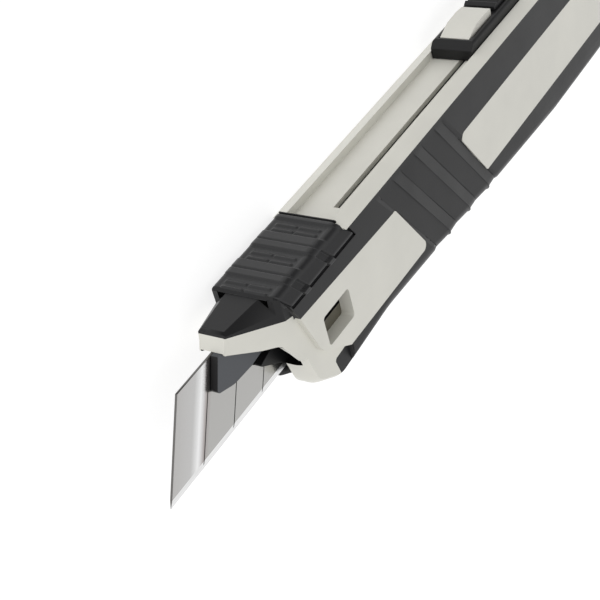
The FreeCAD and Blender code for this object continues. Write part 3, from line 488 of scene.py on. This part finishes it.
def slice_for_ribs(work):
    """Cuts along each valley, crest and line of the ribs."""
    slice_at(work, (1, 0, 0), [RIB_FRONT, RIB_BACK])
    marks = [-RIB_RUNOUT, RIB_COUNT * RIB_PITCH + RIB_RUNOUT]
    for count in range(RIB_COUNT + 1):
        valley = count * RIB_PITCH
        crest = valley + RIB_CREST
        marks += [valley - RIB_FLAT, valley, valley + RIB_FLAT]
        if count < RIB_COUNT:
            marks += [crest - RIB_FLAT, crest, crest + RIB_FLAT]
    for weights, values in (
        ((1, RIB_LEAN, 0), [RIB_START + mark for mark in marks]),
        ((0, 1, 0), [RIB_FADE, RIB_TOP]),
    ):
        slice_at(work, weights, values, lambda reach, height, side: RIB_FRONT < reach < RIB_BACK)


def no_relief(reach, height, side):
    """A surface left as it is."""
    return 0.0


def build_tree(names):
    """One search tree over several CAD nodes."""
    places, faces = [], []
    for name in names:
        mesh = nodes[name].data
        start = len(places)
        places += [vertex.co.copy() for vertex in mesh.vertices]
        faces += [[start + index for index in face.vertices] for face in mesh.polygons]
    return BVHTree.FromPolygons(places, faces)


HANDLE_TREE = build_tree(["left_shell", "right_shell", "left_grip", "right_grip", "end_cap"])


def carve(piece, depth_at, slices):
    """Slice a copied mesh, press a relief into its outer surface and join up its flat faces."""
    work = bmesh.new()
    work.from_mesh(piece.data)
    weld(work)
    for slice_mesh in slices:
        slice_mesh(work)
    if depth_at is not no_relief:
        press_in(work, depth_at)
        bmesh.ops.dissolve_degenerate(work, dist=SLIVER, edges=work.edges)
    merge_flat_faces(work)
    work.to_mesh(piece.data)
    work.free()


def press_in(work, depth_at):
    """Move the vertices of the outer surface inwards by a depth in millimetres."""
    work.normal_update()
    pushes = {}
    for face in work.faces:
        centre, normal = face.calc_center_median(), face.normal
        if abs(normal.x) > FACES_ALONG:
            continue
        if HANDLE_TREE.ray_cast(centre + normal * OFF_FACE, normal, SEARCH_REACH)[0] is not None:
            continue
        for vertex in face.verts:
            pushes[vertex] = pushes.get(vertex, Vector()) + normal * face.calc_area()
    for vertex, push in pushes.items():
        depth = depth_at(*in_knife(vertex.co))
        if depth and push.length:
            vertex.co -= push.normalized() * depth * MM


def thumb_profile():
    """Half of the thumb rest's cross section, from its middle down to the wall: side and height."""
    points = [(REST_FLAT * step / REST_TOP_STEPS, PAD_TOP) for step in range(REST_TOP_STEPS)]
    start, corner, end = (REST_FLAT, PAD_TOP), REST_CORNER, REST_SHOULDER
    for step in range(REST_ROUND_STEPS):
        share = step / REST_ROUND_STEPS
        weights = ((1 - share) ** 2, 2 * share * (1 - share), share ** 2)
        points.append(tuple(
            sum(weight * place[axis] for weight, place in zip(weights, (start, corner, end)))
            for axis in (0, 1)))
    for (side, height), (next_side, next_height), steps in (
        (REST_SHOULDER, REST_HIP, REST_FLANK_STEPS), (REST_HIP, REST_FOOT, REST_WALL_STEPS),
    ):
        for step in range(steps):
            share = step / steps
            points.append((side + share * (next_side - side), height + share * (next_height - height)))
    return points + [REST_FOOT]


def thumb_depth(along, side, height):
    """Relief of the thumb rest: bars and lines on top, which fade into tabs on the flank."""
    flank = ramp(REST_SHOULDER[1] + RAMP - height, 0, RAMP)
    top = 1 - ramp(side, REST_FLAT, REST_CORNER[0] + RAMP)
    return top * thumb_top_depth(along, side) + flank * thumb_flank_depth(along, height)


def thumb_rest():
    """The raised rest for the thumb, as a fine net laid over its cross section."""
    profile = thumb_profile()
    outward = []
    for index, (side, height) in enumerate(profile):
        before = Vector(profile[max(index - 1, 0)])
        after = Vector(profile[min(index + 1, len(profile) - 1)])
        slope = (after - before).normalized()
        outward.append((-slope.y, slope.x))
    rim = [(side, height, normal) for (side, height), normal in zip(profile, outward)]
    rim.append((REST_FOOT[0] - SEAT_DEPTH, REST_FOOT[1], (0.0, 0.0)))
    ring = [(-side, height, (-normal[0], normal[1])) for side, height, normal in reversed(rim[1:])] + rim
    count = round((PAD_BACK - PAD_FRONT) / REST_STEP)
    columns = [PAD_FRONT + (PAD_BACK - PAD_FRONT) * step / count for step in range(count + 1)]
    ends = [(columns[0], REST_ROOT)] + [(along, 0.0) for along in columns] + [(columns[-1], REST_ROOT)]
    work = bmesh.new()
    rows = []
    for along, sink in ends:
        row = []
        for side, height, (out_side, out_height) in ring:
            edge = REST_END_ROUND * (1 - ramp(min(along - PAD_FRONT, PAD_BACK - along), 0, REST_END_ROUND))
            depth = sink + edge + thumb_depth(along, abs(side), height)
            reach = along - PAD_LEAN * (height - PAD_TOP)
            if height > RAIL_FOOT:
                reach = min(reach, PAD_BACK)
            row.append(work.verts.new(knife(reach, height - out_height * depth, side - out_side * depth)))
        rows.append(row)
    for row, following in zip(rows, rows[1:]):
        for index in range(len(ring) - 1):
            work.faces.new((row[index], row[index + 1], following[index + 1], following[index]))
    open_edges = [edge for edge in work.edges if edge.is_boundary]
    bmesh.ops.holes_fill(work, edges=open_edges, sides=0)
    bmesh.ops.recalc_face_normals(work, faces=work.faces)
    mesh = bpy.data.meshes.new("thumb_rest")
    work.to_mesh(mesh)
    work.free()
    # the thumb rest gets the lighter rubber copy, which is painted light
    mesh.materials.append(REST_RUBBER_LIT)
    mesh.shade_smooth()
    piece = bpy.data.objects.new("thumb_rest", mesh)
    bpy.context.scene.collection.objects.link(piece)
    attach(piece, "handle")


def paint_arch_shade(piece):
    """Painted shade: the shell's faces in the room behind the mouth's arch get the black material."""
    mesh = piece.data
    mesh.materials.append(BLACK_AND_SHADE)
    (front, back), (low, high), far = ARCH_ROOM
    lean = (CHEEK_END[1] - CHEEK_START[1]) / (CHEEK_END[0] - CHEEK_START[0])
    for face in mesh.polygons:
        reach, height, side = in_knife(face.center)
        skin = CHEEK_START[1] + lean * (reach - CHEEK_START[0]) - ARCH_WALL / 2
        if front < reach < back and low < height < high and abs(side) < min(far, skin):
            face.material_index = 1


def slice_for_guide(work):
    """A seam along the slit, under which the guide's jaw is painted black as shadow."""
    slice_at(work, (-GUIDE_SLIT_SLOPE, 1, 0), [GUIDE_SLIT], seam=True)


def paint_guide_shade(piece):
    """Painted shade on the guide: black front faces for the dark they reflect, black jaw and outer parts
    as shadow, and a darker warm colour on the floor behind the window as shade.
    """
    mesh = piece.data
    mesh.materials.append(BLACK_AND_SHADE)
    mesh.materials.append(WINDOW_FLOOR_SHADE)
    for face in mesh.polygons:
        reach, height, side = in_knife(face.center)
        if side > WINDOW_FLOOR_SIDE:
            face.material_index = 2
        elif face.normal.x > FACES_FRONT or side > GUIDE_PLATE_SIDE:
            face.material_index = 1
        elif reach > GUIDE_JAW and height - GUIDE_SLIT_SLOPE * reach < GUIDE_SLIT:
            face.material_index = 1


def colour_blade(piece):
    """Ground bevels, bright with a painted highlight on top of their real grind, and dark scores."""
    mesh = piece.data
    mesh.materials.append(EDGE)
    mesh.materials.append(SCORE)
    for face in mesh.polygons:
        reach, height, side = in_knife(face.center)
        if height < BLADE_BEVEL and abs(side) < BLADE_HALF - FACE_GAP:
            face.material_index = 1
        elif abs(side) < BLADE_HALF - FACE_GAP:
            face.material_index = 2


for node, body, material, slot, width in (
    ("left_shell", "handle", CREAM, "cream_plastic", 0.28),
    ("right_shell", "handle", CREAM, "cream_plastic", 0.28),
    ("left_grip", "handle", RUBBER, "soft_grip", 0.0),
    ("right_grip", "handle", RUBBER, "soft_grip", 0.0),
    ("blade_guide", "handle", GUIDE, "guide_metal", 0.10),
    ("blade", "slider", BLADE, "blade_steel", 0.0),
    ("slider", "slider", BLACK_AND_SHADE, "slider_plastic", 0.15),
    ("slider_pad", "slider", RUBBER, "soft_grip", 0.15),
    ("lock_button", "button", CREAM, "button_plastic", 0.15),
    ("end_cap", "cap", BLACK_AND_SHADE, "cap_plastic", 0.25),
):
    piece = copy_of(node, material)
    if node.endswith("grip"):
        carve(piece, seat_depth, [slice_for_seat, slice_for_ribs])
    elif node == "blade_guide":
        carve(piece, no_relief, [slice_for_guide])
    else:
        carve(piece, no_relief, [])
    if node.endswith("shell"):
        paint_arch_shade(piece)
    if node == "blade_guide":
        paint_guide_shade(piece)
    if node == "blade":
        colour_blade(piece)
    if width:
        round_edges(piece, width)
    else:
        sharp_edges(piece)
    stand_in(piece, node, body)
thumb_rest()


# ---------------------------------------------------------------- floor, light and camera

FLOOR_REACH = 3.0        # metres from the middle to each side
FLOOR_GREY = 0.30
FLOOR_ROUGHNESS = 0.7
FLOOR_GLOW = 0.80
WORLD_STRENGTH = 0.85
DARK_TOWARDS = (-0.50, -0.62, 0.60)
DARK_SHARE = 0.05        # what is left of the light in that direction
DARK_EDGE = (0.84, 0.96)  # cosines of the angles at which it starts and ends to fade
KEY_PLACE = (0.25, -0.1, 0.6)
KEY_TARGET = (0.05, 0, 0)
KEY_SIDE = 0.5
KEY_POWER = 0.5
SENSOR_WIDTH = 36.0
LENS = 83.24
CAMERA_PLACE = (0.21528, -0.15859, 0.14701)
CAMERA_TARGET = (0.05257, -0.00141, 0.0083)
CAMERA_ROLL = math.radians(101.14)
CAMERA_NEAR = 0.01


def studio_world():
    """Even white light from all round, dimmer towards one direction."""
    world = bpy.data.worlds.new("studio")
    bpy.context.scene.world = world
    world.use_nodes = True
    tree = world.node_tree
    background = tree.nodes["Background"]
    background.inputs["Strength"].default_value = WORLD_STRENGTH
    where = tree.nodes.new("ShaderNodeTexCoord")
    turned = tree.nodes.new("ShaderNodeVectorMath")
    turned.operation = "DOT_PRODUCT"
    turned.inputs[1].default_value = Vector(DARK_TOWARDS).normalized()
    tree.links.new(where.outputs["Generated"], turned.inputs[0])
    fade = tree.nodes.new("ShaderNodeMapRange")
    fade.interpolation_type = "SMOOTHSTEP"
    fade.inputs["From Min"].default_value = DARK_EDGE[0]
    fade.inputs["From Max"].default_value = DARK_EDGE[1]
    fade.inputs["To Min"].default_value = 1.0
    fade.inputs["To Max"].default_value = DARK_SHARE
    tree.links.new(turned.outputs["Value"], fade.inputs["Value"])
    grey = tree.nodes.new("ShaderNodeCombineColor")
    for channel in ("Red", "Green", "Blue"):
        tree.links.new(fade.outputs["Result"], grey.inputs[channel])
    tree.links.new(grey.outputs["Color"], background.inputs["Color"])


def key_light():
    """A large soft lamp above the knife."""
    light = bpy.data.lights.new("key", "AREA")
    light.shape = "RECTANGLE"
    light.size = KEY_SIDE
    light.size_y = KEY_SIDE
    light.energy = KEY_POWER
    lamp = bpy.data.objects.new("key", light)
    bpy.context.scene.collection.objects.link(lamp)
    lamp.location = KEY_PLACE
    lamp.rotation_euler = (Vector(KEY_TARGET) - Vector(KEY_PLACE)).to_track_quat("-Z", "Y").to_euler()


def floor():
    """A pale floor that glows a little, so that it is nearly white."""
    mesh = bpy.data.meshes.new("floor")
    turns = ((-1, -1), (1, -1), (1, 1), (-1, 1))
    mesh.from_pydata([(x * FLOOR_REACH, y * FLOOR_REACH, 0) for x, y in turns], [], [(0, 1, 2, 3)])
    plane = bpy.data.objects.new("floor", mesh)
    bpy.context.scene.collection.objects.link(plane)
    material, _, shader, _ = new_material("pale_floor", (FLOOR_GREY,) * 3, FLOOR_ROUGHNESS)
    shader.inputs["Emission Color"].default_value = (1.0, 1.0, 1.0, 1.0)
    shader.inputs["Emission Strength"].default_value = FLOOR_GLOW
    mesh.materials.append(material)


def camera():
    """A long lens in front of the knife's left side, turned so that the knife runs up to the right."""
    data = bpy.data.cameras.new("camera")
    data.sensor_width = SENSOR_WIDTH
    data.lens = LENS
    view = bpy.data.objects.new("camera", data)
    bpy.context.scene.collection.objects.link(view)
    place = Vector(CAMERA_PLACE)
    look = (Vector(CAMERA_TARGET) - place).to_track_quat("-Z", "Y").to_matrix().to_4x4()
    view.matrix_world = Matrix.Translation(place) @ look @ Matrix.Rotation(CAMERA_ROLL, 4, "Z")
    data.clip_start = CAMERA_NEAR
    bpy.context.scene.camera = view


bpy.context.scene.view_settings.view_transform = "Standard"
studio_world()
floor()
key_light()
camera()
